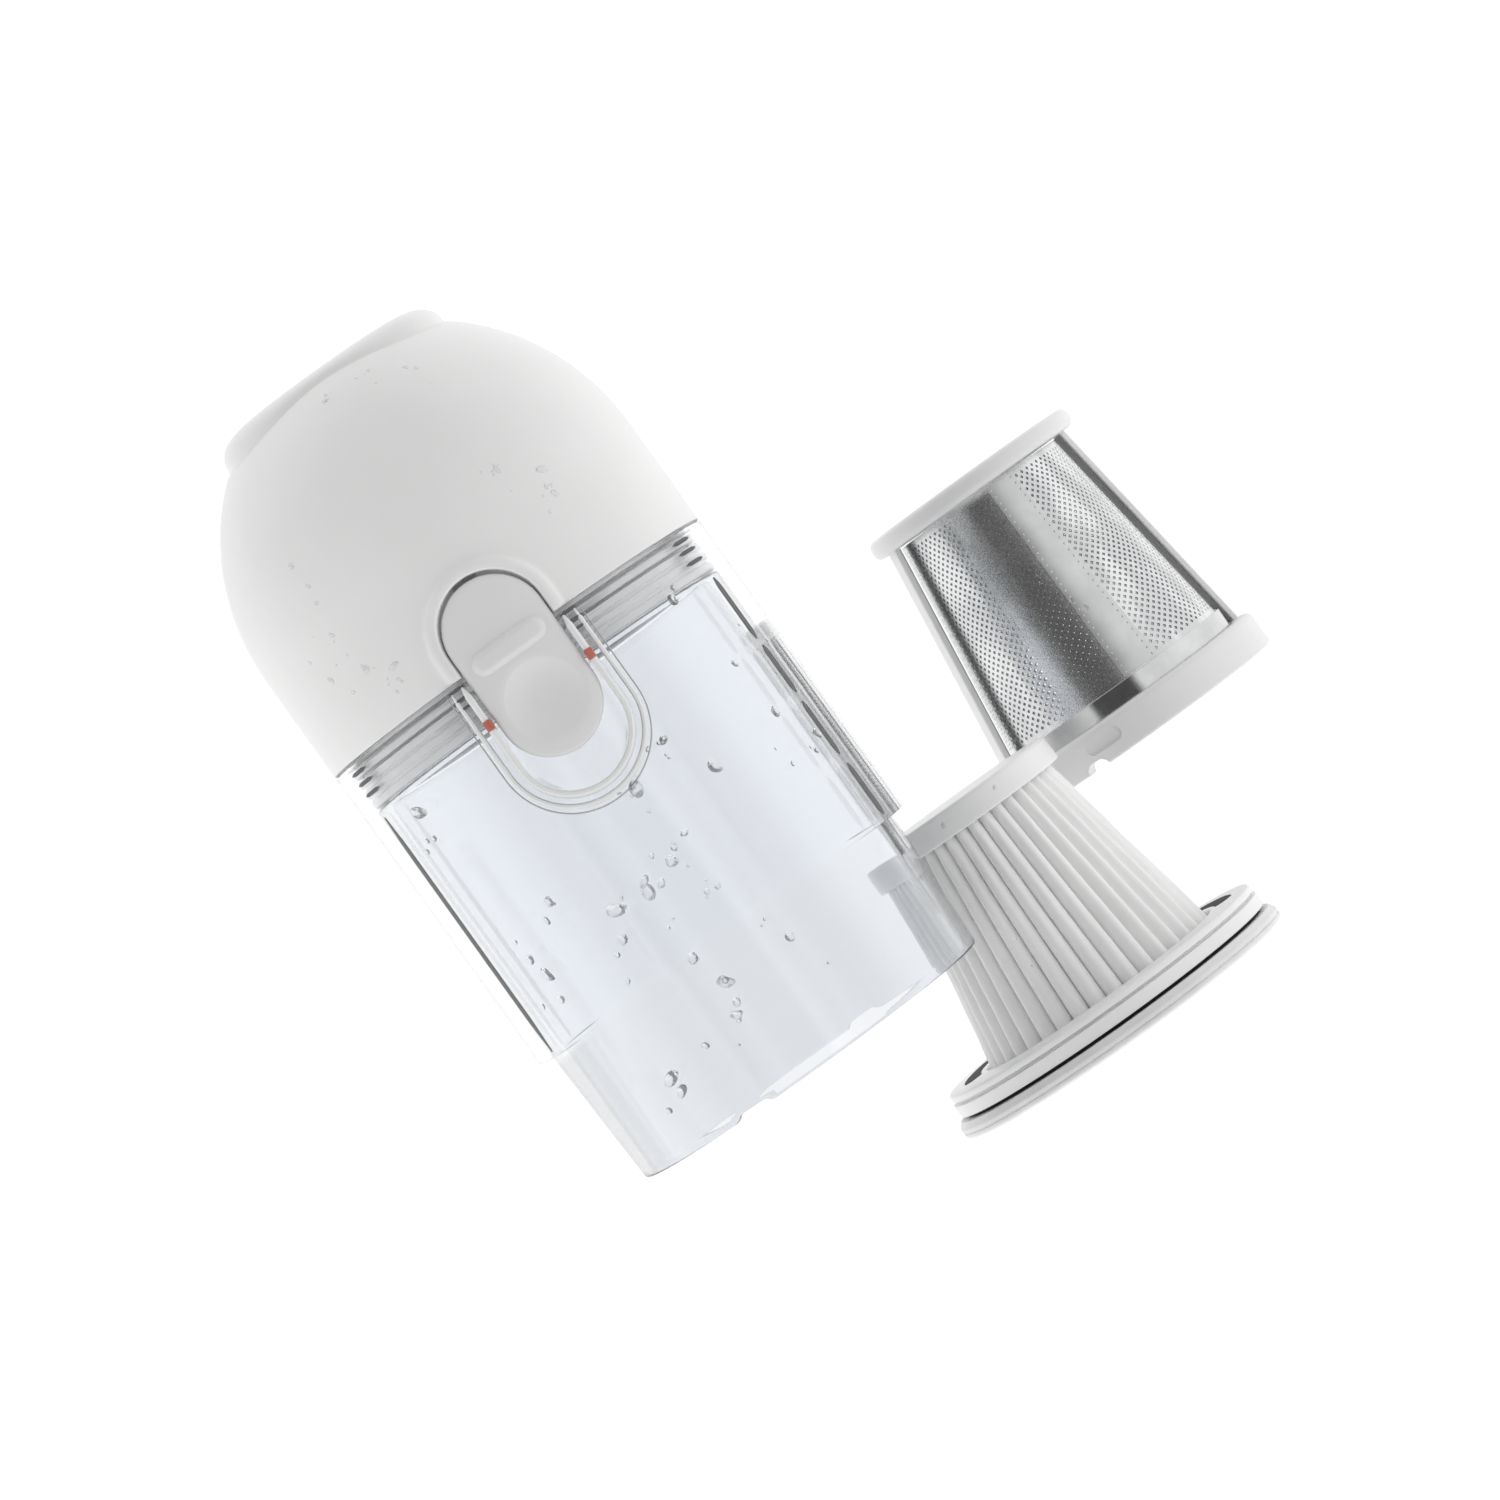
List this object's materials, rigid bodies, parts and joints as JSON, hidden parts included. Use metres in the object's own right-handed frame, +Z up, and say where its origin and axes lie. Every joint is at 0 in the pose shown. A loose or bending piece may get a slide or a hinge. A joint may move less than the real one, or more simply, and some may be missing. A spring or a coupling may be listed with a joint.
{
  "type": "hand vacuum dust cup with filters",
  "caption": "Round dust cup of a slim hand vacuum, with a nozzle, clear body and sliding release button, laid out beside its steel mesh pre-filter and pleated filter.",
  "frame": {"origin": "on the bench, under the centre of the whole layout's box", "axes": "+X runs along the axes of the cup and both filters, from the nozzle to the cup's mouth; +Y from the cup to the filters; +Z up from the bench"},
  "size_m": [0.1238, 0.1262, 0.0542],
  "materials": {
    "white_plastic": "satin moulded",
    "pale_plastic": "satin moulded",
    "filter_plastic": "satin moulded",
    "clear_plastic": "clear polished",
    "seal_rubber": "soft white",
    "grey_rubber": "soft translucent grey",
    "red_plastic": "moulded",
    "pleated_paper": "folded fibre sheet",
    "mesh_steel": "fine perforated sheet, bright",
    "spring_steel": "drawn wire"
  },
  "bodies": {
    "cup": {"outer_shell": "clear_plastic", "inner_cup": "clear_plastic", "neck_ring": "clear_plastic", "neck_seal": "grey_rubber", "lock_mark_left": "red_plastic", "lock_mark_right": "red_plastic", "return_spring_left": "spring_steel", "return_spring_right": "spring_steel"},
    "front": {"front_shell": "white_plastic", "inlet_duct": "pale_plastic", "flap_pin": "spring_steel"},
    "flap": {"inlet_flap": "grey_rubber"},
    "button": {"release_button": "pale_plastic"},
    "latch": {"latch_hook": "pale_plastic"},
    "pleated": {"pleat_cap": "filter_plastic", "pleat_media": "pleated_paper", "pleat_cage": "filter_plastic", "pleat_flange": "filter_plastic", "seal_ring": "seal_rubber"},
    "mesh": {"mesh_frame": "filter_plastic", "mesh_cone": "mesh_steel", "mesh_collar": "mesh_steel"}
  },
  "joints": [
    {"name": "button_slide", "type": "slide", "parent": "cup", "child": "button", "axis": [1, 0, 0], "range_m": [0, 0.0045], "stiffness_N_per_m": 150, "springref_m": -0.004, "deforming": ["return_spring_left", "return_spring_right"]},
    {"name": "latch_slide", "type": "slide", "parent": "cup", "child": "latch", "axis": [0, 0.5878, -0.809], "range_m": [0, 0.001]},
    {"name": "front_pull", "type": "slide", "parent": "cup", "child": "front", "axis": [-1, 0, 0], "range_m": [0, 0.02]},
    {"name": "flap_swing", "type": "hinge", "parent": "front", "child": "flap", "pos_m": [-0.0335, -0.0427, 0.03634], "axis": [0, -0.809, -0.5878], "range_deg": [0, 60], "stiffness_Nm_per_rad": 0.002, "springref_deg": -11.46},
    {"name": "pleated_draw", "type": "slide", "parent": "cup", "child": "pleated", "axis": [1, 0, 0], "range_m": [0, 0.06]},
    {"name": "mesh_twist", "type": "hinge", "parent": "pleated", "child": "mesh", "pos_m": [0, 0.0432, 0.01994], "axis": [1, 0, 0], "range_deg": [-20, 0]}
  ],
  "couplings": [
    {"joint": "latch_slide", "follows": "button_slide", "ratio": 0.22}
  ]
}
